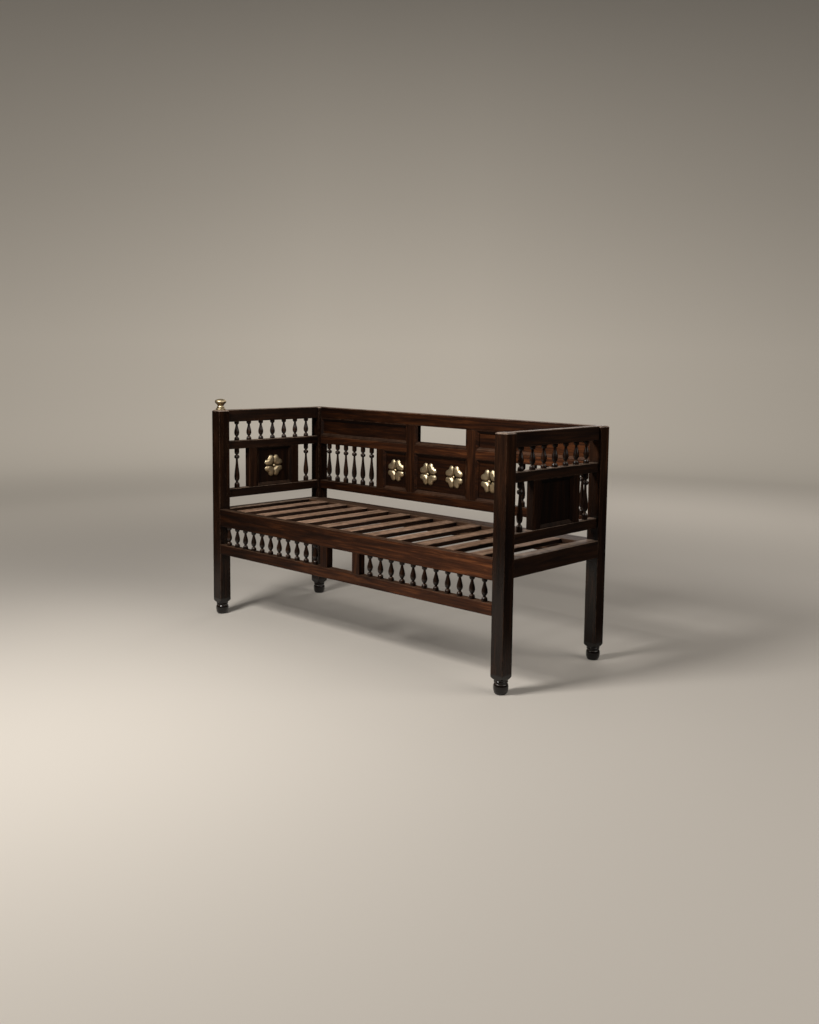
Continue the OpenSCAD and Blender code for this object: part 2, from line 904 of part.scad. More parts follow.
// Four heart-shaped domed petals on the diagonals, with valleys between them
module rosette() {
    spread = 24;
    body_distance = lobe_distance * 0.62;
    difference() {
        union() {
            cylinder(r = lobe_distance + 4, h = rosette_base);
            cylinder(d = nail_head_width + 2, h = rosette_boss_height);
            for (quarter = [0 : 3])
                rotate([0, 0, 90 * quarter])
                    intersection() {
                        union() {
                            for (a = [45 - spread, 45 + spread])
                                rotate([0, 0, a])
                                    translate([lobe_distance, 0, 0])
                                    cap(lobe_radius, lobe_height);
                            rotate([0, 0, 45])
                                translate([body_distance, 0, 0])
                                cap(lobe_radius, lobe_height + 1);
                        }
                        translate([valley_width / 2, valley_width / 2, 0])
                            cube([2 * lobe_distance, 2 * lobe_distance, 3 * lobe_height]);
                    }
        }
        translate([0, 0, -bite])
            cylinder(d = nail_shank_width + 2 * joint_clearance, h = rosette_boss_height + 2 * bite);
        translate([0, 0, rosette_boss_height])
            cylinder(d = nail_head_width + 2 * joint_clearance, h = 2 * lobe_height);
    }
}

// Nail with a domed head, whose shank goes down through the rosette into the panel
module rosette_nail() {
    head = nail_head_width / 2;
    rotate_extrude()
        polygon(concat(
            [[0, -nail_depth], [nail_shank_width / 2, -nail_depth]],
            [[nail_shank_width / 2, rosette_boss_height]],
            [for (i = [0 : 8])
                let (a = 90 * i / 8)
                [head * cos(a), rosette_boss_height + 0.75 * head * sin(a)]]));
}

// Places of all the rosettes: four on the back and one inside each arm
module at_rosettes() {
    on_back()
        for (x = back_rosette_row)
            translate([x, -panel_face, lower_row_middle])
                rotate([90, 0, 0])
                children();
    for (side = [-1, 1])
        on_arm(side)
            translate([0, -panel_face, lower_row_middle])
            rotate([90, 0, 0])
            children();
}

module rosettes() {
    color(brass)
        at_rosettes()
        rosette();
}

module rosette_nails() {
    color(brass)
        at_rosettes()
        rosette_nail();
}

post(-1, -1);  // post_front_left
post(1, -1);  // post_front_right
post(-1, 1);  // post_back_left
post(1, 1);  // post_back_right
finial();
seat_front_rail();
seat_back_rail();
seat_side_rail(-1);  // seat_side_rail_left
seat_side_rail(1);  // seat_side_rail_right
seat_front_support();
seat_back_support();
seat_back_board();
slat(1);  // slat_1
slat(2);  // slat_2
slat(3);  // slat_3
slat(4);  // slat_4
slat(5);  // slat_5
slat(6);  // slat_6
slat(7);  // slat_7
slat(8);  // slat_8
slat(9);  // slat_9
slat(10);  // slat_10
slat(11);  // slat_11
apron_rail();
apron_stile(-1);  // apron_stile_left
apron_stile(1);  // apron_stile_right
apron_spindles(-1);  // apron_spindles_left
apron_spindles(1);  // apron_spindles_right
arm_top_rail(-1);  // arm_top_rail_left
arm_top_rail(1);  // arm_top_rail_right
arm_mid_rail(-1);  // arm_mid_rail_left
arm_mid_rail(1);  // arm_mid_rail_right
arm_lower_rail(-1);  // arm_lower_rail_left
arm_lower_rail(1);  // arm_lower_rail_right
arm_stiles(-1);  // arm_stiles_left
arm_stiles(1);  // arm_stiles_right
arm_panel(-1);  // arm_panel_left
arm_panel(1);  // arm_panel_right
arm_mouldings(-1);  // arm_mouldings_left
arm_mouldings(1);  // arm_mouldings_right
arm_short_spindles(-1);  // arm_short_spindles_left
arm_short_spindles(1);  // arm_short_spindles_right
arm_tall_spindles(-1);  // arm_tall_spindles_left
arm_tall_spindles(1);  // arm_tall_spindles_right
back_top_rail();
back_lower_rail();
back_mid_rail(-1);  // back_mid_rail_left
back_mid_rail_centre();
back_mid_rail(1);  // back_mid_rail_right
back_stile(-1);  // back_stile_left
back_stile(1);  // back_stile_right
back_short_stiles();
back_upper_panels();
back_lower_panels();
back_upper_mouldings();
back_lower_mouldings();
back_spindles(-1);  // back_spindles_left
back_spindles(1);  // back_spindles_right
rosettes();
rosette_nails();
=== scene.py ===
# %% [markdown]
# # A slatted hardwood settee
#
# The settee stands on four turned feet. It has open arms, an open back with framed panels, turned spindles,
# a slatted seat and brass ornaments. Its posts, rails, stiles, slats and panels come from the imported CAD
# model. This lesson gives them wood and brass, turns smooth spindles and a finial, sculpts the petals of the
# rosettes, and sets up a plain studio. All lengths are in metres, in the CAD model's own frame: X along the
# settee, -Y out of its front, Z up.

# %% Load the model and keep its box
import math
import bmesh
import bpy
from mathutils import Matrix, Vector


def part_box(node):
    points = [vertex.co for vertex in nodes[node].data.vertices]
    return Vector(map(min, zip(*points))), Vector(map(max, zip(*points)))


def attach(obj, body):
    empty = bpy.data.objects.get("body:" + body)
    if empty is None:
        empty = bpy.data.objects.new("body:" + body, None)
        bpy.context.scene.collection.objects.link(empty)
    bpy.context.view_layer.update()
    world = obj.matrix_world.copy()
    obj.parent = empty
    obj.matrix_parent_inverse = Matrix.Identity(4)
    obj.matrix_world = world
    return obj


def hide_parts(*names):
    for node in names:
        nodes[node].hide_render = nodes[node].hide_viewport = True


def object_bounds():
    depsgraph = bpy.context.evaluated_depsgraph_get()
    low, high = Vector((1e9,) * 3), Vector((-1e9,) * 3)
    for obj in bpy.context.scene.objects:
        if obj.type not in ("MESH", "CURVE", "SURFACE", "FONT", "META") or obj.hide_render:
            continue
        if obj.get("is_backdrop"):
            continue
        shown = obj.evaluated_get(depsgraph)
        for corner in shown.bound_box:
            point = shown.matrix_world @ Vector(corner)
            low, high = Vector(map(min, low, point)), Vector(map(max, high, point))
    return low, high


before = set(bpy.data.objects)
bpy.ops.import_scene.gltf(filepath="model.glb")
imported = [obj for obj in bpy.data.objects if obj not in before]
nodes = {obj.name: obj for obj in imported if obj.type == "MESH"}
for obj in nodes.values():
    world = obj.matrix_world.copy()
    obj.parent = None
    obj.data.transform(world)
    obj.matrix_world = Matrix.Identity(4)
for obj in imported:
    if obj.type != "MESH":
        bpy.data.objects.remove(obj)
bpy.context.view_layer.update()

# %% [markdown]
# ## The camera
#
# The photograph looks down a little, from the front right. The camera could be placed by eye, but edges of
# the settee were matched to the picture instead, which gives its place, its turn and its focal length
# together. The small shift says that the settee wasn't in the middle of the lens.

# %% Camera
FRAME_WIDTH, FRAME_HEIGHT = 819, 1024
camera_place = Vector((2.7817, -2.8031, 1.0927))
camera_yaw, camera_pitch, camera_roll = math.radians(40.56), math.radians(-6.07), math.radians(0.99)
focal_pixels, centre_x, centre_y = 1023.7, 471.1, 465.3

forward = Vector((-math.sin(camera_yaw) * math.cos(camera_pitch),
                  math.cos(camera_yaw) * math.cos(camera_pitch), math.sin(camera_pitch)))
level_right = Vector((math.cos(camera_yaw), math.sin(camera_yaw), 0.0))
level_up = level_right.cross(forward)
right = math.cos(camera_roll) * level_right + math.sin(camera_roll) * level_up
up = right.cross(forward)

lens = bpy.data.cameras.new("studio_lens")
lens.sensor_fit = "VERTICAL"
lens.sensor_height = 24.0
lens.lens = focal_pixels * lens.sensor_height / FRAME_HEIGHT
lens.shift_x = (FRAME_WIDTH / 2 - centre_x) / FRAME_HEIGHT
lens.shift_y = (centre_y - FRAME_HEIGHT / 2) / FRAME_HEIGHT
camera = bpy.data.objects.new("studio_camera", lens)
camera.matrix_world = Matrix((
    (right.x, up.x, -forward.x, camera_place.x),
    (right.y, up.y, -forward.y, camera_place.y),
    (right.z, up.z, -forward.z, camera_place.z),
    (0.0, 0.0, 0.0, 1.0)))
bpy.context.scene.collection.objects.link(camera)
bpy.context.scene.camera = camera
bpy.context.scene.view_settings.view_transform = "Standard"
print("lens:", round(lens.lens, 2), "mm, shift:", round(lens.shift_x, 4), round(lens.shift_y, 4))

# %% [markdown]
# ## The studio
#
# The settee stands on a pale seamless floor that rises into a taupe wall far behind it. One round sweep,
# turned about the upright axis, gives the same plain ground in every view.
#
# In a real studio the pale paper ends not far from the piece, and the room beyond is dark, so that polished
# wood mirrors little. The sweep copies that. It is pale near the settee, and only the camera sees its far
# part pale too: for light that bounces or is mirrored, that part is dark.

# %% Floor and wall in one sweep
SWEEP_RADIUS, COVE_RADIUS, WALL_HEIGHT = 9.0, 3.0, 7.5
profile = [(r, 0.0) for r in (0.0, 1.0, 2.0, 3.0, 4.5, SWEEP_RADIUS - COVE_RADIUS)]
for step in range(1, 17):
    angle = math.radians(90 * step / 16)
    profile.append((SWEEP_RADIUS - COVE_RADIUS + COVE_RADIUS * math.sin(angle),
                    COVE_RADIUS - COVE_RADIUS * math.cos(angle)))
profile.append((SWEEP_RADIUS, WALL_HEIGHT))


def lathe(name, outline, segments, smooth_angle=None):
    """A mesh turned about the Z axis from (radius, height) points. A radius of 0 gives a single point."""
    shape = bmesh.new()
    rings = []
    for radius, height in outline:
        if radius < 1e-7:
            rings.append([shape.verts.new((0.0, 0.0, height))])
        else:
            rings.append([shape.verts.new((radius * math.cos(2 * math.pi * k / segments),
                                           radius * math.sin(2 * math.pi * k / segments), height))
                          for k in range(segments)])
    for low, high in zip(rings, rings[1:]):
        for k in range(segments):
            n = (k + 1) % segments
            corners = [low[k % len(low)], low[n % len(low)], high[n % len(high)], high[k % len(high)]]
            corners = [c for i, c in enumerate(corners) if c not in corners[:i]]
            if len(corners) > 2:
                shape.faces.new(corners)
    mesh = bpy.data.meshes.new(name)
    shape.to_mesh(mesh)
    shape.free()
    mesh.shade_smooth()
    if smooth_angle is not None:
        mesh.set_sharp_from_angle(angle=math.radians(smooth_angle))
    return mesh


sweep = bpy.data.objects.new("studio_sweep", lathe("studio_sweep", profile, 96))
bpy.context.scene.collection.objects.link(sweep)
sweep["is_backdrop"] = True
print("sweep:", len(sweep.data.polygons), "faces")

# %% [markdown]
# ## Small helpers
#
# Every material below is wired from the same few kinds of node. These helpers keep the wiring short.

# %% Helpers that wire nodes
AXIS_TURN = {"x": (0.0, 0.0, 0.0), "y": (0.0, 0.0, math.radians(-90)), "z": (0.0, math.radians(90), 0.0)}


def new_group(name, inputs, outputs):
    """A shader node group with named number, vector and colour sockets."""
    kinds = {"number": "NodeSocketFloat", "vector": "NodeSocketVector", "colour": "NodeSocketColor"}
    group = bpy.data.node_groups.new(name, "ShaderNodeTree")
    for label, kind, value in inputs:
        socket = group.interface.new_socket(name=label, in_out="INPUT", socket_type=kinds[kind])
        if value is not None:
            socket.default_value = value
    for label, kind in outputs:
        group.interface.new_socket(name=label, in_out="OUTPUT", socket_type=kinds[kind])
    start = group.nodes.new("NodeGroupInput")
    end = group.nodes.new("NodeGroupOutput")
    return group, start, end


def number_node(tree, operation, first, second=None, third=None, clamp=False):
    """A Math node whose inputs are sockets or plain numbers."""
    node = tree.nodes.new("ShaderNodeMath")
    node.operation = operation
    node.use_clamp = clamp
    for slot, value in enumerate([first, second, third]):
        if value is None:
            continue
        if isinstance(value, (int, float)):
            node.inputs[slot].default_value = value
        else:
            tree.links.new(value, node.inputs[slot])
    return node.outputs["Value"]


def share(tree, mask, part):
    """A mask times a plain part."""
    return number_node(tree, "MULTIPLY", mask, part)


def spread(tree, value, low, high):
    """Stretches value so that low becomes 0 and high becomes 1, and clips it there."""
    node = tree.nodes.new("ShaderNodeMapRange")
    node.inputs["From Min"].default_value = low
    node.inputs["From Max"].default_value = high
    tree.links.new(value, node.inputs["Value"])
    return node.outputs["Result"]


def stretched(tree, vector, scale):
    """The vector times a scale for each axis."""
    node = tree.nodes.new("ShaderNodeVectorMath")
    node.operation = "MULTIPLY"
    node.inputs[1].default_value = scale
    tree.links.new(vector, node.inputs[0])
    return node.outputs["Vector"]


def noise(tree, vector, scale, detail, roughness, distortion=0.0):
    """A noise texture's value."""
    node = tree.nodes.new("ShaderNodeTexNoise")
    node.inputs["Scale"].default_value = scale
    node.inputs["Detail"].default_value = detail
    node.inputs["Roughness"].default_value = roughness
    node.inputs["Distortion"].default_value = distortion
    tree.links.new(vector, node.inputs["Vector"])
    return node.outputs["Fac"]


def mixed(tree, factor, first, second, blend="MIX"):
    """A colour mix. Each colour is a socket or a plain (r, g, b)."""
    node = tree.nodes.new("ShaderNodeMix")
    node.data_type = "RGBA"
    node.blend_type = blend
    if isinstance(factor, (int, float)):
        node.inputs["Factor"].default_value = factor
    else:
        tree.links.new(factor, node.inputs["Factor"])
    for slot, colour in ((6, first), (7, second)):
        if isinstance(colour, tuple):
            node.inputs[slot].default_value = (*colour, 1.0)
        else:
            tree.links.new(colour, node.inputs[slot])
    return node.outputs[2]


def place_group(tree, group):
    """Puts a node group into a tree."""
    node = tree.nodes.new("ShaderNodeGroup")
    node.node_tree = group
    return node


print("grain turns:", {axis: [round(math.degrees(a)) for a in turn] for axis, turn in AXIS_TURN.items()})

# %% [markdown]
# ## The paper
#
# The lamps light the middle of the sweep and leave the wall dim. More lamps would lift the wall, but they
# would flatten the settee too, so the paper far off gets a glow that only the camera sees. The glow grows
# away from the settee, and it fades up the wall and towards its sides.

# %% Paper of the sweep
# Metres from the pale middle, from the settee, up the wall, and aside of the wall's brightest line
PALE_MIDDLE, PALE_RADIUS, DARK_RADIUS = (-0.3, -0.4, 0.0), 1.0, 1.7
GLOW_START, GLOW_END = 1.6, 7.5
WALL_DARK_HEIGHT, WALL_PALE_HEIGHT = 6.9, 1.2
BRIGHT_LINE, SIDE_START, SIDE_END = -0.7, 1.0, 6.5
# Colours, then strengths: a bend in the glow's rise, the share that the sides lose, and the whole glow
FLOOR_TONE, WALL_TONE, DARK_ROOM = (0.66, 0.605, 0.54), (0.385, 0.343, 0.285), (0.05, 0.045, 0.04)
GLOW_BEND, BEND_GLOW, SIDE_LOSS, PAPER_GLOW = 0.45, 0.50, 0.45, 0.94

paper = bpy.data.materials.new("studio_paper")
paper.use_nodes = True
tree = paper.node_tree
surface = tree.nodes["Principled BSDF"]
surface.inputs["Roughness"].default_value = 0.9
surface.inputs["Specular IOR Level"].default_value = 0.1
place = tree.nodes.new("ShaderNodeTexCoord").outputs["Object"]
ground_place = stretched(tree, place, (1.0, 1.0, 0.0))
seen = tree.nodes.new("ShaderNodeLightPath").outputs["Is Camera Ray"]

from_pale_middle = tree.nodes.new("ShaderNodeVectorMath")
from_pale_middle.operation = "DISTANCE"
from_pale_middle.inputs[1].default_value = PALE_MIDDLE
tree.links.new(ground_place, from_pale_middle.inputs[0])
far = spread(tree, from_pale_middle.outputs["Value"], PALE_RADIUS, DARK_RADIUS)
unseen = number_node(tree, "MULTIPLY", far, number_node(tree, "SUBTRACT", 1.0, seen))
tree.links.new(mixed(tree, unseen, FLOOR_TONE, DARK_ROOM), surface.inputs["Base Color"])

from_settee = tree.nodes.new("ShaderNodeVectorMath")
from_settee.operation = "LENGTH"
tree.links.new(ground_place, from_settee.inputs[0])
glow = tree.nodes.new("ShaderNodeValToRGB")
glow.color_ramp.interpolation = "EASE"
glow.color_ramp.elements[0].color = (0.0, 0.0, 0.0, 1)
glow.color_ramp.elements[0].position = 0.0
glow.color_ramp.elements[1].color = (BEND_GLOW, BEND_GLOW, BEND_GLOW, 1)
glow.color_ramp.elements[1].position = GLOW_BEND
glow.color_ramp.elements.new(1.0).color = (1.0, 1.0, 1.0, 1)
tree.links.new(spread(tree, from_settee.outputs["Value"], GLOW_START, GLOW_END), glow.inputs["Fac"])

height = tree.nodes.new("ShaderNodeSeparateXYZ")
tree.links.new(place, height.inputs["Vector"])
low_wall = spread(tree, height.outputs["Z"], WALL_DARK_HEIGHT, WALL_PALE_HEIGHT)
across_view = tree.nodes.new("ShaderNodeVectorMath")
across_view.operation = "DOT_PRODUCT"
across_view.inputs[1].default_value = tuple(level_right)
tree.links.new(place, across_view.inputs[0])
aside = number_node(tree, "SUBTRACT", across_view.outputs["Value"], BRIGHT_LINE)
beside = number_node(tree, "ABSOLUTE", aside)
middle_wall = number_node(tree, "MULTIPLY_ADD", spread(tree, beside, SIDE_START, SIDE_END), -SIDE_LOSS, 1.0)
lit_wall = number_node(tree, "MULTIPLY", low_wall, middle_wall)
strength = number_node(tree, "MULTIPLY", glow.outputs["Color"], number_node(tree, "MULTIPLY", lit_wall, seen))
tree.links.new(mixed(tree, 1.0, strength, WALL_TONE, "MULTIPLY"), surface.inputs["Emission Color"])
surface.inputs["Emission Strength"].default_value = PAPER_GLOW
sweep.data.materials.append(paper)
print("paper:", len(tree.nodes), "shader nodes")

# %% [markdown]
# ## The light
#
# The shadows of the four feet spread away from one place, which gives the position of the main lamp: in
# front of the settee, a little left of its middle and about as high as a door. It is small enough to draw
# the slats' stripes on the floor. A wide, weak panel of light beyond the right end lifts the outside of the
# right arm and the floor there, a weaker one far behind shows the outside of the back, and the world fills
# the shadows with a weak, even tone.

# %% Lamps and world


def square_lamp(name, size, power, colour, place, target):
    """A square area lamp at place that faces target."""
    light = bpy.data.lights.new(name, "AREA")
    light.shape = "SQUARE"
    light.size = size
    light.energy = power
    light.color = colour
    lamp = bpy.data.objects.new(name, light)
    lamp.location = place
    lamp.rotation_euler = (Vector(target) - Vector(place)).to_track_quat("-Z", "Y").to_euler()
    bpy.context.scene.collection.objects.link(lamp)
    print(name, power, "W at", place)


square_lamp("key_lamp", 0.7, 65.0, (1.0, 0.985, 0.955), (-0.1, -2.1, 2.3), (0.1, -0.3, 0.2))
square_lamp("side_panel", 3.0, 58.0, (1.0, 0.97, 0.93), (3.9, 0.8, 3.1), (0.8, -0.3, 0.2))
square_lamp("rear_panel", 3.0, 30.0, (1.0, 0.97, 0.94), (-1.2, 4.2, 2.8), (0.0, 0.3, 0.5))
world = bpy.data.worlds.new("studio_air")
bpy.context.scene.world = world
world.use_nodes = True
world.node_tree.nodes["Background"].inputs["Color"].default_value = (0.80, 0.78, 0.74, 1)
world.node_tree.nodes["Background"].inputs["Strength"].default_value = 0.2

# %% [markdown]
# ## Wood, part 1: the figure
#
# Old rosewood is nearly black, with reddish-brown streaks that run along each board. A picture of wood could
# be wrapped round every piece, but end grain and sides would then never agree. A solid figure is used
# instead: noise that is stretched along the grain and read straight from the place in space. As several
# woods need it, it is one node group, which puts out masks and leaves the colours to each material.

# %% Group: wood figure
# Noise cells for a metre, along the grain and twice across it
BROAD_STREAKS, NARROW_STREAKS = (4.0, 52.0, 52.0), (8.0, 190.0, 190.0)
CLOUD_CELLS, PORE_CELLS = (2.6, 7.0, 7.0), (45.0, 1500.0, 1500.0)
BROAD_PART = 0.65

figure_group, start, end = new_group(
    "wood figure",
    [("Along Grain", "vector", None), ("Streak Width", "number", 1.0)],
    [("Streaks", "number"), ("Clouds", "number"), ("Pores", "number")])
scaled = figure_group.nodes.new("ShaderNodeVectorMath")
scaled.operation = "SCALE"
figure_group.links.new(start.outputs["Along Grain"], scaled.inputs[0])
figure_group.links.new(start.outputs["Streak Width"], scaled.inputs["Scale"])
place = scaled.outputs["Vector"]
broad = noise(figure_group, stretched(figure_group, place, BROAD_STREAKS), 1.0, 5.0, 0.6, 0.7)
narrow = noise(figure_group, stretched(figure_group, place, NARROW_STREAKS), 1.0, 5.0, 0.62, 0.4)
both = number_node(figure_group, "ADD", share(figure_group, broad, BROAD_PART),
                   share(figure_group, narrow, 1 - BROAD_PART))
figure_group.links.new(spread(figure_group, both, 0.39, 0.61), end.inputs["Streaks"])
clouds = noise(figure_group, stretched(figure_group, place, CLOUD_CELLS), 1.0, 2.0, 0.5)
figure_group.links.new(spread(figure_group, clouds, 0.3, 0.7), end.inputs["Clouds"])
pores = noise(figure_group, stretched(figure_group, place, PORE_CELLS), 1.0, 2.0, 0.5)
figure_group.links.new(spread(figure_group, pores, 0.58, 0.7), end.inputs["Pores"])
print("wood figure:", len(figure_group.nodes), "nodes")

# %% [markdown]
# ## Wood, part 2: age and painted light
#
# Years of handling rub the dark polish off corners, and the corners also get a painted highlight. Hollows
# where pieces meet get dark wax and painted shade, faces that look down get painted shade, and faces that
# look up are pale and dull with dust and a painted sheen. A Bevel node finds the corners: it rounds the
# normal near an edge, and where that differs from the true normal, there is a corner. The same rounded normal
# softens the look of every edge. Ambient occlusion finds the hollows. Noise breaks the masks up, so that
# they don't look drawn.

# %% Group: wear and painted light
wear_and_painted_light_group, start, end = new_group(
    "wear_and_painted_light",
    [("Corner Width", "number", 0.0016)],
    [("Worn And Lit Corners", "number"), ("Recesses", "number"), ("Dust And Sheen", "number"),
     ("Soft Normal", "vector")])
rounded = wear_and_painted_light_group.nodes.new("ShaderNodeBevel")
rounded.samples = 4
wear_and_painted_light_group.links.new(start.outputs["Corner Width"], rounded.inputs["Radius"])
wear_and_painted_light_group.links.new(rounded.outputs["Normal"], end.inputs["Soft Normal"])
true_normal = wear_and_painted_light_group.nodes.new("ShaderNodeNewGeometry")
agree = wear_and_painted_light_group.nodes.new("ShaderNodeVectorMath")
agree.operation = "DOT_PRODUCT"
wear_and_painted_light_group.links.new(rounded.outputs["Normal"], agree.inputs[0])
wear_and_painted_light_group.links.new(true_normal.outputs["Normal"], agree.inputs[1])
# Corners, for wear and for a painted highlight
corner = spread(wear_and_painted_light_group, agree.outputs["Value"], 0.995, 0.90)
spot = wear_and_painted_light_group.nodes.new("ShaderNodeTexCoord")
patches = noise(wear_and_painted_light_group, spot.outputs["Object"], 38.0, 4.0, 0.65)
edge_patches = spread(wear_and_painted_light_group, patches, 0.38, 0.62)
corner = number_node(wear_and_painted_light_group, "MULTIPLY", corner, edge_patches, clamp=True)
wear_and_painted_light_group.links.new(corner, end.inputs["Worn And Lit Corners"])
hollow = wear_and_painted_light_group.nodes.new("ShaderNodeAmbientOcclusion")
hollow.samples = 4
hollow.inputs["Distance"].default_value = 0.03
upward = wear_and_painted_light_group.nodes.new("ShaderNodeSeparateXYZ")
wear_and_painted_light_group.links.new(true_normal.outputs["Normal"], upward.inputs["Vector"])
# Hollows get dark wax and painted shade, and faces that look down get painted shade
wax_and_shade = number_node(wear_and_painted_light_group, "ADD", spread(wear_and_painted_light_group, hollow.outputs["AO"], 0.85, 0.35),
                  spread(wear_and_painted_light_group, upward.outputs["Z"], -0.15, -0.45), clamp=True)
wear_and_painted_light_group.links.new(wax_and_shade, end.inputs["Recesses"])
# Faces that look up, for dust and for a painted sheen
tops = number_node(wear_and_painted_light_group, "MULTIPLY", spread(wear_and_painted_light_group, upward.outputs["Z"], 0.3, 0.6),
                   spread(wear_and_painted_light_group, patches, 0.1, 0.65))
wear_and_painted_light_group.links.new(tops, end.inputs["Dust And Sheen"])
print("handling:", len(wear_and_painted_light_group.nodes), "nodes")

# %% [markdown]
# ## Wood, part 3: the finished materials
#
# Each material turns the figure so that the grain runs the long way of its pieces, picks its own dark,
# middle and light tones, and adds paler corners (wear, painted highlight), paler tops (dust, painted sheen)
# and darker, duller recesses (dark wax, painted shade). The long pieces grow paler towards the settee's right
# end, and the posts towards their tops and the right end: each fade doubles the colour for every step of 1.
# The rails have a thin satin polish that mirrors little. The posts and the turnings are glossier.

# %% Polished wood
MIDDLE_STREAK, CLOUD_SHARE, BOARD_SHARE = 0.55, 0.45, 0.18
# Recesses and faces that look down: dark wax and painted shade
WAX_AND_SHADE_SHARE, WAX_AND_SHADE_TONE, WAX_DULLNESS = 0.85, 0.3, 0.2
PORE_SHARE, PORE_TONE, PORE_DEPTH = 0.5, 0.35, 0.8
DIP_SHARE, DIP_TONE, DIP_BLEND, DIP_GLOSS, DIP_COAT = 0.85, 0.3, 0.003, 0.1, 0.6
BARE_DULLNESS, STREAK_GLOSS, CLOUD_DULLNESS = 0.04, 0.07, 0.08
# Paler corners are part wear and part painted highlight, paler tops part dust and part painted sheen
WORN_AND_LIT_BROWN = (0.10, 0.046, 0.022)
FAINT_DUST_AND_SHEEN = ((0.07, 0.040, 0.024), (0.16, 0.098, 0.062))


def darker(colour, tone):
    """A plain (r, g, b) times a tone."""
    return tuple(tone * value for value in colour)


def board_tones(tree, place, lot, tones, middle):
    """The tones mixed towards middle by a number drawn for each board, where lot is the size of its cell."""
    board = tree.nodes.new("ShaderNodeVectorMath")
    board.operation = "SNAP"
    board.inputs[1].default_value = lot
    tree.links.new(place, board.inputs[0])
    draw = tree.nodes.new("ShaderNodeTexWhiteNoise")
    draw.noise_dimensions = "3D"
    tree.links.new(board.outputs["Vector"], draw.inputs["Vector"])
    drawn = share(tree, draw.outputs["Value"], BOARD_SHARE)
    return tuple(mixed(tree, drawn, tone, middle) for tone in tones)


def faded(tree, place, colour, direction, first, last, first_gain, last_gain):
    """The colour doubled for every step of a gain, which runs between two distances along a direction."""
    along = tree.nodes.new("ShaderNodeVectorMath")
    along.operation = "DOT_PRODUCT"
    along.inputs[1].default_value = direction
    tree.links.new(place, along.inputs[0])
    gain = tree.nodes.new("ShaderNodeMapRange")
    gain.inputs["From Min"].default_value = first
    gain.inputs["From Max"].default_value = last
    gain.inputs["To Min"].default_value = first_gain
    gain.inputs["To Max"].default_value = last_gain
    tree.links.new(along.outputs["Value"], gain.inputs["Value"])
    gained = tree.nodes.new("ShaderNodeVectorMath")
    gained.operation = "SCALE"
    tree.links.new(colour, gained.inputs[0])
    tree.links.new(number_node(tree, "POWER", 2.0, gain.outputs["Result"]), gained.inputs["Scale"])
    return gained.outputs["Vector"]


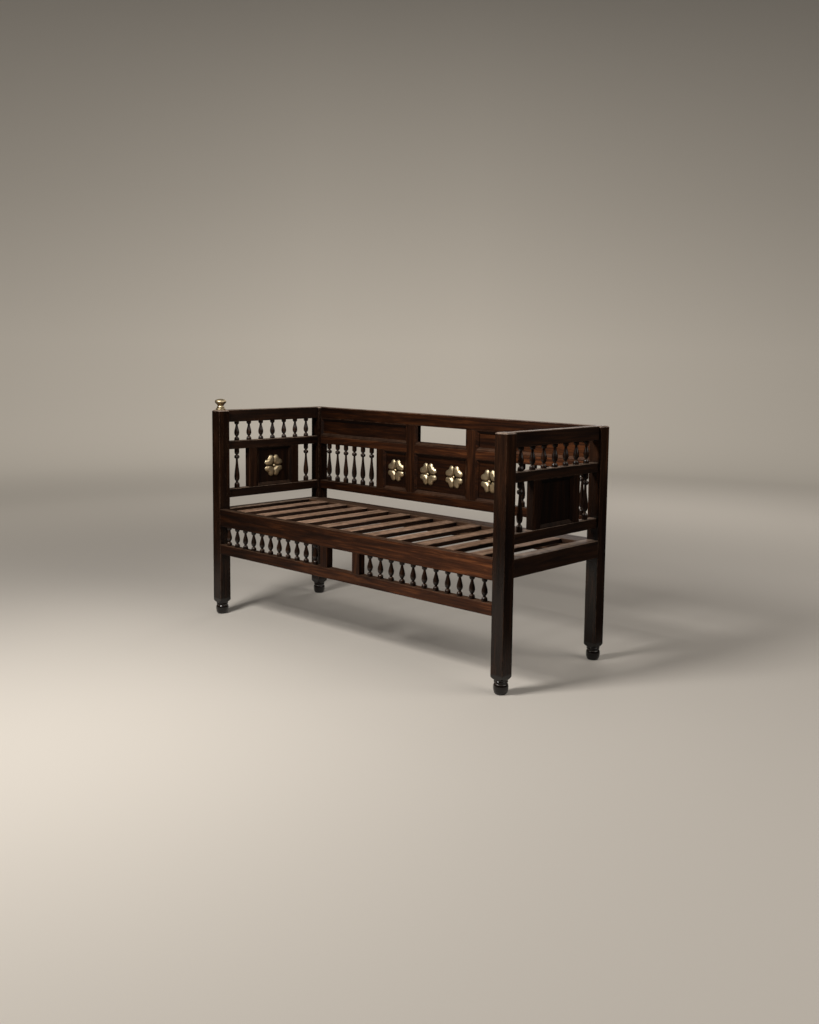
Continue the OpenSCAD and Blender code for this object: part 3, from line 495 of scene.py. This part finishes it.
def polished_wood(name, grain, dark, middle, light, streak_width=1.0, roughness=0.38, gloss=0.12,
                  coat=0.03, coat_roughness=0.15, corner=0.0018, wear_and_highlight=0.7, worn_and_lit=WORN_AND_LIT_BROWN, lot=None,
                  fade=None, cover=0.5, tops=FAINT_DUST_AND_SHEEN, dipped=None):
    """A dark hardwood with its grain along one axis. Its corners get wear and a painted highlight, its tops
    dust and a painted sheen, and its recesses dark wax and painted shade.

    lot is the size of a board's cell, fade what faded takes after the colour, and dipped the height up to
    which a dark glossy finish covers the feet."""
    material = bpy.data.materials.new(name)
    material.use_nodes = True
    tree = material.node_tree
    surface = tree.nodes["Principled BSDF"]
    surface.inputs["Specular IOR Level"].default_value = gloss
    surface.inputs["Coat Weight"].default_value = coat
    surface.inputs["Coat Roughness"].default_value = coat_roughness
    place = tree.nodes.new("ShaderNodeTexCoord").outputs["Object"]
    turn = tree.nodes.new("ShaderNodeMapping")
    turn.inputs["Rotation"].default_value = AXIS_TURN[grain]
    tree.links.new(place, turn.inputs["Vector"])
    figure = place_group(tree, figure_group)
    figure.inputs["Streak Width"].default_value = streak_width
    tree.links.new(turn.outputs["Vector"], figure.inputs["Along Grain"])
    streaks, clouds, pores = figure.outputs["Streaks"], figure.outputs["Clouds"], figure.outputs["Pores"]
    wear_and_painted_light = place_group(tree, wear_and_painted_light_group)
    wear_and_painted_light.inputs["Corner Width"].default_value = corner
    recesses = wear_and_painted_light.outputs["Recesses"]

    lower = mixed(tree, spread(tree, streaks, 0.0, MIDDLE_STREAK), dark, middle)
    colour = mixed(tree, spread(tree, streaks, MIDDLE_STREAK, 1.0), lower, light)
    colour = mixed(tree, share(tree, clouds, CLOUD_SHARE), colour, dark)
    # Painted shade and dark wax in recesses, painted shade on faces that look down
    colour = mixed(tree, share(tree, recesses, WAX_AND_SHADE_SHARE), colour, darker(dark, WAX_AND_SHADE_TONE))
    colour = mixed(tree, share(tree, pores, PORE_SHARE), colour, darker(dark, PORE_TONE))
    if fade is not None:
        colour = faded(tree, place, colour, *fade)
    if lot is not None:
        tops = board_tones(tree, place, lot, tops, middle)
    # Corners: wear and a painted highlight. Tops: dust and a painted sheen.
    colour = mixed(tree, share(tree, wear_and_painted_light.outputs["Worn And Lit Corners"], wear_and_highlight), colour, worn_and_lit)
    pale = mixed(tree, streaks, *tops)
    colour = mixed(tree, share(tree, wear_and_painted_light.outputs["Dust And Sheen"], cover), colour, pale)

    dullness = number_node(tree, "MULTIPLY_ADD", streaks, -STREAK_GLOSS, roughness + BARE_DULLNESS)
    dullness = number_node(tree, "ADD", dullness, share(tree, clouds, CLOUD_DULLNESS))
    dullness = number_node(tree, "ADD", dullness, share(tree, recesses, WAX_DULLNESS))
    if dipped is not None:
        level = tree.nodes.new("ShaderNodeSeparateXYZ")
        tree.links.new(place, level.inputs["Vector"])
        foot = spread(tree, level.outputs["Z"], dipped + DIP_BLEND, dipped - DIP_BLEND)
        colour = mixed(tree, share(tree, foot, DIP_SHARE), colour, darker(dark, DIP_TONE))
        dullness = number_node(tree, "SUBTRACT", dullness, share(tree, foot, DIP_GLOSS))
        glaze = number_node(tree, "MULTIPLY_ADD", foot, DIP_COAT, coat)
        tree.links.new(glaze, surface.inputs["Coat Weight"])
    tree.links.new(colour, surface.inputs["Base Color"])
    tree.links.new(dullness, surface.inputs["Roughness"])

    bump = tree.nodes.new("ShaderNodeBump")
    bump.inputs["Strength"].default_value = 0.25
    bump.inputs["Distance"].default_value = 0.0004
    relief = number_node(tree, "SUBTRACT", streaks, share(tree, pores, PORE_DEPTH))
    tree.links.new(relief, bump.inputs["Height"])
    tree.links.new(wear_and_painted_light.outputs["Soft Normal"], bump.inputs["Normal"])
    tree.links.new(bump.outputs["Normal"], surface.inputs["Normal"])
    return material


print("polished wood: grain along", ", ".join(AXIS_TURN))

# %% [markdown]
# ## Wood, part 4: one finish for each job
#
# The long rails share three tones, and each has its own fade from the left end to the right one, read off
# the real settee. The arms are darker. The corners and tops of the arms, the posts and the top rail are
# paler than the rest, part wear and dust and part painted highlight and sheen, and the slats' tops are pale
# all over, part bare wood and part painted sheen.

# %% The woods of the settee
ESPRESSO, ROSEWOOD, EMBER = (0.011, 0.0038, 0.0017), (0.034, 0.0110, 0.0042), (0.084, 0.0275, 0.0092)
SHADE, DUSK, GLOW = (0.009, 0.0038, 0.0020), (0.022, 0.0092, 0.0045), (0.048, 0.0190, 0.0090)
# Pale colours for tops and corners: part dust and wear, part painted sheen and highlight
BRIGHT_DUST_AND_SHEEN, WORN_AND_LIT_EDGE = ((0.16, 0.105, 0.072), (0.34, 0.235, 0.17)), (0.22, 0.135, 0.090)
HALF_LENGTH, WIDE_CORNER, SLAT_PITCH = 0.75, 0.0028, 0.12636
LENGTHWAYS, UP_AND_RIGHT = (1.0, 0.0, 0.0), (0.30, 0.0, 1.0)
FADES_ALONG_X = {
    "seat_front_rail": (-1.2, 1.6), "apron_rail": (-0.7, 1.5), "back_top_rail": (-0.9, 0.6),
    "back_mid_rail": (-0.1, 1.9), "back_lower_rail": (-1.1, 0.7), "back_upper_panels": (-0.9, 0.8),
    "back_lower_panels": (-1.5, 0.2), "seat_": (-0.8, 1.0), "back_": (-0.9, 0.7)}


def lengthways(left_gain, right_gain):
    """A fade along the settee, from its left end to its right one."""
    return LENGTHWAYS, -HALF_LENGTH, HALF_LENGTH, left_gain, right_gain


woods = {}
for start_of_name, gains in FADES_ALONG_X.items():
    paler_edges_and_tops = {}
    # The top rail's tops and corners are paler: part wear and dust, part painted highlight and sheen
    if start_of_name == "back_top_rail":
        paler_edges_and_tops = {"cover": 1.0, "tops": BRIGHT_DUST_AND_SHEEN, "worn_and_lit": WORN_AND_LIT_EDGE, "corner": WIDE_CORNER}
    wood_name = "rosewood_" + start_of_name.strip("_")
    woods[start_of_name] = polished_wood(wood_name, "x", ESPRESSO, ROSEWOOD, EMBER, fade=lengthways(*gains),
                                         **paler_edges_and_tops)
# Arms and seat sides: pale tops and corners, part wear and dust, part painted highlight and sheen
woods["across"] = polished_wood(
    "rosewood_across", "y", SHADE, DUSK, GLOW, gloss=0.2, coat=0.06, cover=0.9, corner=WIDE_CORNER,
    worn_and_lit=WORN_AND_LIT_EDGE, fade=lengthways(-0.4, 0.0), tops=((0.20, 0.135, 0.092), (0.43, 0.305, 0.225)))
woods["upright"] = polished_wood(
    "rosewood_upright", "z", ESPRESSO, (0.034, 0.0118, 0.0050), (0.074, 0.0265, 0.0100),
    fade=lengthways(-0.8, 0.9))
woods["end_frame"] = polished_wood(
    "rosewood_end_frame", "z", SHADE, DUSK, GLOW, fade=lengthways(-0.2, -0.2))
woods["end_panel"] = polished_wood(
    "rosewood_end_panel", "z", SHADE, DUSK, GLOW, cover=0.3, fade=lengthways(-0.6, -1.2))
# Posts: pale tops and corners, part wear and dust, part painted highlight and sheen
woods["post"] = polished_wood(
    "rosewood_posts", "z", SHADE, DUSK, GLOW, roughness=0.2, gloss=0.22, coat=0.1, coat_roughness=0.12,
    corner=0.0024, wear_and_highlight=0.8, worn_and_lit=(0.15, 0.085, 0.053), cover=1.0, dipped=0.066,
    fade=(UP_AND_RIGHT, 0.75, 0.93, -0.5, 0.9), tops=((0.26, 0.185, 0.135), (0.52, 0.40, 0.32)))
woods["turned"] = polished_wood(
    "rosewood_turned", "z", SHADE, DUSK, GLOW, streak_width=1.4, roughness=0.28, gloss=0.2, coat=0.4,
    coat_roughness=0.1)
woods["board"] = polished_wood(
    "rosewood_board", "x", (0.040, 0.019, 0.011), (0.085, 0.042, 0.024), (0.150, 0.080, 0.047), cover=0.6)
# Slats: tops pale all over, part bare wood and part painted sheen; edges pale, part wear, part painted
# highlight
woods["slat"] = polished_wood(
    "rosewood_slats", "y", (0.012, 0.0048, 0.0026), (0.034, 0.0145, 0.0080), (0.075, 0.034, 0.019),
    roughness=0.42, gloss=0.25, worn_and_lit=(0.34, 0.22, 0.15), cover=1.0, lot=(SLAT_PITCH, 9.0, 9.0),
    tops=((0.235, 0.132, 0.078), (0.630, 0.400, 0.272)))
print("woods:", [wood.name for wood in woods.values()])

# %% Give each wooden node its wood
WOOD_BY_NAME = {
    "seat_side_rail": "across", "arm_top_rail": "across", "arm_mid_rail": "across",
    "arm_lower_rail": "across", "arm_mouldings": "end_panel", "arm_panel": "end_panel",
    "arm_stiles": "end_frame",
    "apron_stile": "upright", "back_stile": "upright", "back_short_stiles": "upright", "post": "post",
    "slat": "slat", "seat_back_board": "board", "seat_back_support": "board"}
WOOD_BY_NAME.update({start_of_name: start_of_name for start_of_name in FADES_ALONG_X})


def wood_of(node_name):
    """The wood of a node: it goes by the start of the node's name."""
    for start_of_name, wood in WOOD_BY_NAME.items():
        if node_name.startswith(start_of_name):
            return wood
    return None


def finish_with(thing, material):
    """Makes material the thing's only one."""
    thing.data.materials.clear()
    thing.data.materials.append(material)


counts = {}
for node_name, thing in nodes.items():
    wood = wood_of(node_name)
    if wood is not None:
        finish_with(thing, woods[wood])
        counts[wood] = counts.get(wood, 0) + 1
print("nodes for each wood:", counts)

# %% [markdown]
# ## Turned spindles
#
# A turner cuts a spindle from a square stick: a base, a vase with its belly near the foot, and a cup or a
# block at the top, with thin necks between them. Two patterns fill this settee. The short one stands in the
# apron and under the arms' top rails. The tall one, with a ring above its vase, stands beside the panels.
# The CAD model has the same shapes with few steps. Here each outline is turned again with fine curves and
# set on the same centres.

# %% Curves of a turner
def shoulder(low, high, wide, thin, steps=8):
    """A quarter curve that rounds inwards as it rises."""
    angles = [math.pi / 2 * k / steps for k in range(steps + 1)]
    return [(thin + (wide - thin) * math.cos(a), low + (high - low) * math.sin(a)) for a in angles]


def cup(low, high, thin, wide, steps=8):
    """A quarter curve that rounds outwards as it rises."""
    angles = [math.pi / 2 * k / steps for k in range(steps + 1)]
    return [(thin + (wide - thin) * math.sin(a), low + (high - low) * (1 - math.cos(a))) for a in angles]


def bead(low, high, thin, wide, steps=12):
    """A half-round bead between two thin ends."""
    angles = [math.pi * k / steps for k in range(steps + 1)]
    middle, half = (low + high) / 2, (high - low) / 2
    return [(thin + (wide - thin) * math.sin(a), middle - half * math.cos(a)) for a in angles]


def vase(low, high, neck, belly, peak, steps=22):
    """A swelling between two necks, with its belly at the share peak of its height."""
    bend = math.log(0.5) / math.log(peak)
    rise = [k / steps for k in range(steps + 1)]
    return [(neck + (belly - neck) * math.sin(math.pi * part ** bend) ** 1.5, low + (high - low) * part)
            for part in rise]


def spindle_outline(height, tall):
    """(radius, height) points of a spindle in millimetres, with a pin at each end."""
    pin, pin_length, neck, chamfer = 4.9, 9.4, 4.5, 0.8
    belly, head_radius = 10.9 if tall else 10.4, 9.9
    foot = [(0, -pin_length), (pin, -pin_length), (pin, 0), (belly - 0.7, 0), (belly, chamfer)]
    head = [(head_radius, height - chamfer), (head_radius - 0.7, height), (pin, height),
            (pin, height + pin_length), (0, height + pin_length)]
    if tall:
        body = (shoulder(11.5, 23, belly, 5) + bead(23.6, 27, neck, 5.7, 6)
                + vase(27.6, height - 46, neck, belly, 0.22, 26)
                + bead(height - 43, height - 27, neck, belly)
                + cup(height - 24, height - 16, neck, head_radius))
    else:
        body = (shoulder(4, 14.5, belly, 5) + vase(17.5, height - 14, neck, belly, 0.32)
                + cup(height - 13, height - 4, neck, head_radius))
    return foot + body + head


for clear_height, tall in ((80, False), (166, True)):
    print("outline", clear_height, "mm high:", len(spindle_outline(clear_height, tall)), "points")


# %% Rows of spindles
def gathered(name, mesh, places):
    """One object with a copy of mesh at each place, which is a matrix."""
    shape = bmesh.new()
    for place in places:
        first = len(shape.verts)
        shape.from_mesh(mesh)
        bmesh.ops.transform(shape, matrix=place, verts=shape.verts[first:])
    joined = bpy.data.meshes.new(name)
    shape.to_mesh(joined)
    shape.free()
    thing = bpy.data.objects.new(name, joined)
    bpy.context.scene.collection.objects.link(thing)
    return thing


def stand_in(thing, node_name, material):
    """Lets thing ride the settee in place of a CAD node."""
    finish_with(thing, material)
    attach(thing, "root")
    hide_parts(node_name)


PIN_LENGTH, TALL_FROM = 0.0095, 120
ROWS = {"apron_spindles_left": 11, "apron_spindles_right": 11, "arm_short_spindles_left": 7,
        "arm_short_spindles_right": 7, "arm_tall_spindles_left": 2, "arm_tall_spindles_right": 2,
        "back_spindles_left": 6, "back_spindles_right": 6}
for node_name, count in ROWS.items():
    low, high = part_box(node_name)
    clear_height = (high.z - low.z - 2 * PIN_LENGTH) * 1000
    outline = [(r / 1000, z / 1000) for r, z in spindle_outline(clear_height, clear_height > TALL_FROM)]
    pattern = lathe("turned_pattern", outline, 32, smooth_angle=35)
    row_axis = 0 if high.x - low.x > high.y - low.y else 1
    radius = (high[1 - row_axis] - low[1 - row_axis]) / 2
    first, last = low[row_axis] + radius, high[row_axis] - radius
    places = []
    for k in range(count):
        centre = (low + high) / 2
        centre.z = low.z + PIN_LENGTH
        centre[row_axis] = first + (last - first) * k / (count - 1)
        places.append(Matrix.Translation(centre))
    row = gathered("turned_" + node_name, pattern, places)
    stand_in(row, node_name, woods["turned"])
    bpy.data.meshes.remove(pattern)
    print(row.name, "spindles:", count, "clear height:", round(clear_height, 1), "mm")

# %% [markdown]
# ## Brass
#
# The rosettes and the finial are cast or pressed brass with a pale, satin, aged face. Metal gets its look
# from what it mirrors, so the colour is steady, and the roughness and a faint hammered bump do the work,
# with darker tarnish and painted shade in the hollows and painted shade on faces that look down. Ambient
# occlusion can't find the fine valleys between petals, so their mesh carries a value for painted shade in
# those valleys and in a ring round the nail, which is written where the petals are made.

# %% Aged brass
CLEAN_BRASS, DULL_BRASS = (0.86, 0.70, 0.45), (0.67, 0.52, 0.31)
# A brown for tarnish and painted shade, and a black for painted shade in the petals' valleys
TARNISH_AND_SHADE_BROWN, VALLEY_SHADE_BLACK = (0.12, 0.08, 0.04), (0.045, 0.027, 0.013)
brass = bpy.data.materials.new("aged_brass")
brass.use_nodes = True
tree = brass.node_tree
surface = tree.nodes["Principled BSDF"]
surface.inputs["Metallic"].default_value = 1.0
place = tree.nodes.new("ShaderNodeTexCoord")
wear_and_painted_light = place_group(tree, wear_and_painted_light_group)
tarnish = noise(tree, place.outputs["Object"], 60.0, 4.0, 0.6)
colour = mixed(tree, spread(tree, tarnish, 0.35, 0.7), CLEAN_BRASS, DULL_BRASS)
# Tarnish and painted shade in hollows, painted shade on faces that look down
colour = mixed(tree, share(tree, wear_and_painted_light.outputs["Recesses"], 0.85), colour, TARNISH_AND_SHADE_BROWN)
# Painted shade in the valleys between petals and in a ring round the nail
painted_valley_shade = tree.nodes.new("ShaderNodeAttribute")
painted_valley_shade.attribute_name = "painted_valley_shade"
colour = mixed(tree, share(tree, painted_valley_shade.outputs["Fac"], 0.9), colour, VALLEY_SHADE_BLACK)
tree.links.new(colour, surface.inputs["Base Color"])
tree.links.new(number_node(tree, "MULTIPLY_ADD", tarnish, 0.2, 0.34), surface.inputs["Roughness"])
bump = tree.nodes.new("ShaderNodeBump")
bump.inputs["Strength"].default_value = 0.3
bump.inputs["Distance"].default_value = 0.0005
tree.links.new(noise(tree, place.outputs["Object"], 260.0, 2.0, 0.5), bump.inputs["Height"])
tree.links.new(bump.outputs["Normal"], surface.inputs["Normal"])
print("brass:", len(tree.nodes), "shader nodes")

# %% [markdown]
# ## Rosettes
#
# Each rosette is a four-petal flower. A petal is a puffed heart: two egg-shaped lobes side by side that melt
# into one swelling towards the nail in the middle, with a sharp valley against the next petal. Boolean
# spheres would leave hard seams between the lobes. So the whole flower is one height field over a round
# grid: each lobe and each swelling adds a dome, the domes melt together, and the field is pressed down along
# the four valleys.

# %% Petals
LOBE_DISTANCE, LOBE_LENGTH, LOBE_WIDTH, LOBE_HEIGHT = 0.0308, 0.0182, 0.0152, 0.0074
SWELLING_DISTANCE, SWELLING_RADIUS, SWELLING_SHARE = 0.0256, 0.0177, 0.94
VALLEY_WIDTH, VALLEY_FLOOR, VALLEY_POWER, LEAST_REACH = 0.0045, 0.03, 0.7, 0.030
NOTCH_DEPTH, NOTCH_WIDTH = 0.10, math.radians(6)
# Width of the painted shade along the petals' valleys, and radius of its ring round the nail
VALLEY_SHADE_WIDTH, NAIL_SHADE_RING = 0.0017, 0.0081
LOBE_ANGLES = [math.radians(22.5 + 45 * k) for k in range(8)]
SWELLING_ANGLES = [math.radians(45 + 90 * k) for k in range(4)]


def rim_radius(angle):
    """How far the outline of the eight lobes reaches from the centre at an angle."""
    reach = LEAST_REACH
    quarter = (angle + math.pi / 4) % (math.pi / 2) - math.pi / 4
    middle = math.pi / 4 - abs(quarter)
    inside = SWELLING_RADIUS ** 2 - (SWELLING_DISTANCE * math.sin(middle)) ** 2
    if inside > 0:
        reach = SWELLING_DISTANCE * math.cos(middle) + math.sqrt(inside)
    for lobe in LOBE_ANGLES:
        ahead, aside = math.cos(angle - lobe), math.sin(angle - lobe)
        if ahead <= 0:
            continue
        a = (ahead / LOBE_LENGTH) ** 2 + (aside / LOBE_WIDTH) ** 2
        b = -2 * LOBE_DISTANCE * ahead / LOBE_LENGTH ** 2
        c = (LOBE_DISTANCE / LOBE_LENGTH) ** 2 - 1
        if b * b > 4 * a * c:
            reach = max(reach, (-b + math.sqrt(b * b - 4 * a * c)) / (2 * a))
    return reach * (1 - NOTCH_DEPTH * math.exp(-(quarter / NOTCH_WIDTH) ** 2))


def petal_height(x, y):
    """Height of the flower's face above the panel at a place on it."""
    total = 0.0
    for lobe in LOBE_ANGLES:
        ahead = x * math.cos(lobe) + y * math.sin(lobe) - LOBE_DISTANCE
        aside = y * math.cos(lobe) - x * math.sin(lobe)
        total += max(0.0, 1.0 - (ahead / LOBE_LENGTH) ** 2 - (aside / LOBE_WIDTH) ** 2) ** 1.5
    for swelling in SWELLING_ANGLES:
        middle_x, middle_y = SWELLING_DISTANCE * math.cos(swelling), SWELLING_DISTANCE * math.sin(swelling)
        away = math.hypot(x - middle_x, y - middle_y)
        total += SWELLING_SHARE ** 3 * max(0.0, 1.0 - (away / SWELLING_RADIUS) ** 2) ** 1.5
    valley = min(1.0, min(abs(x), abs(y)) / VALLEY_WIDTH) ** VALLEY_POWER
    return LOBE_HEIGHT * min(1.0, total ** (1 / 3)) * (VALLEY_FLOOR + (1 - VALLEY_FLOOR) * valley)


def flower_mesh():
    """The flower, facing +Z, as rings of a height field from the nail out to the rim."""
    shape = bmesh.new()
    spokes, rings = 144, 26
    centre = shape.verts.new((0, 0, petal_height(0, 0)))
    grid = []
    for ring in range(1, rings + 1):
        part = math.sin(math.pi / 2 * ring / rings)
        row = []
        for k in range(spokes):
            angle = 2 * math.pi * k / spokes
            reach = rim_radius(angle) * part
            x, y = reach * math.cos(angle), reach * math.sin(angle)
            row.append(shape.verts.new((x, y, 0.0 if ring == rings else petal_height(x, y))))
        grid.append(row)
    for k in range(spokes):
        n = (k + 1) % spokes
        shape.faces.new((centre, grid[0][k], grid[0][n]))
        for inner, outer in zip(grid, grid[1:]):
            shape.faces.new((inner[k], outer[k], outer[n], inner[n]))
    mesh = bpy.data.meshes.new("flower")
    shape.to_mesh(mesh)
    shape.free()
    mesh.shade_smooth()
    # Painted shade in the valleys between petals and in a ring round the nail
    painted_valley_shade = mesh.attributes.new("painted_valley_shade", "FLOAT", "POINT")
    for vertex in mesh.vertices:
        x, y = vertex.co.x, vertex.co.y
        valley = math.exp(-(min(abs(x), abs(y)) / VALLEY_SHADE_WIDTH) ** 2)
        ring = math.exp(-((math.hypot(x, y) - NAIL_SHADE_RING) / VALLEY_SHADE_WIDTH) ** 2)
        painted_valley_shade.data[vertex.index].value = max(valley, ring)
    return mesh


flower = flower_mesh()
flower_top = max(vertex.co.z for vertex in flower.vertices)
print("flower:", len(flower.vertices), "points, top at", round(flower_top * 1000, 2), "mm")

# %% Set the rosettes and their nails
ROSETTE_HEIGHT, BACK_PANEL_FACE, ARM_PANEL_FACE = 0.608, 0.2615, 0.749
SIDE_ROSETTE, MIDDLE_ROSETTE = 0.258, 0.071
SHANK_RADIUS, SHANK_END, SHANK_TOP = 0.0018, -0.0068, 0.0030
NAIL_RADIUS, NAIL_MIDDLE, NAIL_RISE = 0.00645, 0.0043, 0.0049
to_front = Matrix.Rotation(math.radians(90), 4, "X")
rosette_places = [Matrix.Translation((x, BACK_PANEL_FACE, ROSETTE_HEIGHT)) @ to_front
                  for x in (-SIDE_ROSETTE, -MIDDLE_ROSETTE, MIDDLE_ROSETTE, SIDE_ROSETTE)]
rosette_places += [Matrix.Translation((-side * ARM_PANEL_FACE, 0.0, ROSETTE_HEIGHT))
                   @ Matrix.Rotation(math.radians(side * 90), 4, "Y") for side in (1, -1)]
stand_in(gathered("petals", flower, rosette_places), "rosettes", brass)
bpy.data.meshes.remove(flower)
nail_outline = ([(0, SHANK_END), (SHANK_RADIUS, SHANK_END), (SHANK_RADIUS, SHANK_TOP)]
                + [(NAIL_RADIUS * math.cos(a), NAIL_MIDDLE + NAIL_RISE * math.sin(a))
                   for a in [math.radians(9 * k) for k in range(-3, 10)]]
                + [(0, NAIL_MIDDLE + NAIL_RISE)])
nail = lathe("nail", nail_outline, 32, smooth_angle=40)
stand_in(gathered("nails", nail, rosette_places), "rosette_nails", brass)
bpy.data.meshes.remove(nail)
print("rosettes:", len(rosette_places), "nails stand", round((NAIL_MIDDLE + NAIL_RISE) * 1000, 1), "mm proud")

# %% [markdown]
# ## Finial
#
# One front post carries a brass knob on a waisted neck, with a ring and a disc at its foot. It is turned
# like the spindles.

# %% Knob
finial_low, finial_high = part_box("finial")
POST_TOP = 0.855
# The rest of this cell's sizes are millimetres above the post, and radii
NECK_RADIUS, NECK_LOW, KNOB_RADIUS, KNOB_MIDDLE, KNOB_TOP = 12, 17, 23, 33.6, 46
QUARTER_TURN = [k / 14 for k in range(1, 15)]
finial_outline = ([(0, -22), (5, -22), (5, 0), (19.3, 0)] + shoulder(4.2, 8.2, 20, 13.5, 8)
                  + bead(8.6, 14.4, 13, 15.6, 10) + [(12.6, 15.6), (12.1, 16.6)]
                  + [(NECK_RADIUS + (KNOB_RADIUS - NECK_RADIUS) * math.sin(math.pi / 2 * part) ** 2.2,
                      NECK_LOW + (KNOB_MIDDLE - NECK_LOW) * part) for part in QUARTER_TURN]
                  + [(KNOB_RADIUS * math.cos(math.pi / 2 * part),
                      KNOB_MIDDLE + (KNOB_TOP - KNOB_MIDDLE) * math.sin(math.pi / 2 * part) ** 0.82)
                     for part in QUARTER_TURN[:-1]] + [(0, KNOB_TOP)])
knob = lathe("knob", [(r / 1000, z / 1000) for r, z in finial_outline], 48, smooth_angle=40)
finial_centre = (finial_low + finial_high) / 2
finial = gathered("finial_knob", knob, [Matrix.Translation((finial_centre.x, finial_centre.y, POST_TOP))])
stand_in(finial, "finial", brass)
bpy.data.meshes.remove(knob)
print("finial: CAD top", round(finial_high.z, 4), "knob top", round(POST_TOP + KNOB_TOP / 1000, 4))

# %% [markdown]
# ## Close
#
# The box of the dressed settee is written down. The dressed settee has to fill the same box as
# the CAD model.

# %% Write the sizes and finish
low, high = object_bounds()
print("dressed box:", [round(v, 4) for v in low], [round(v, 4) for v in high])
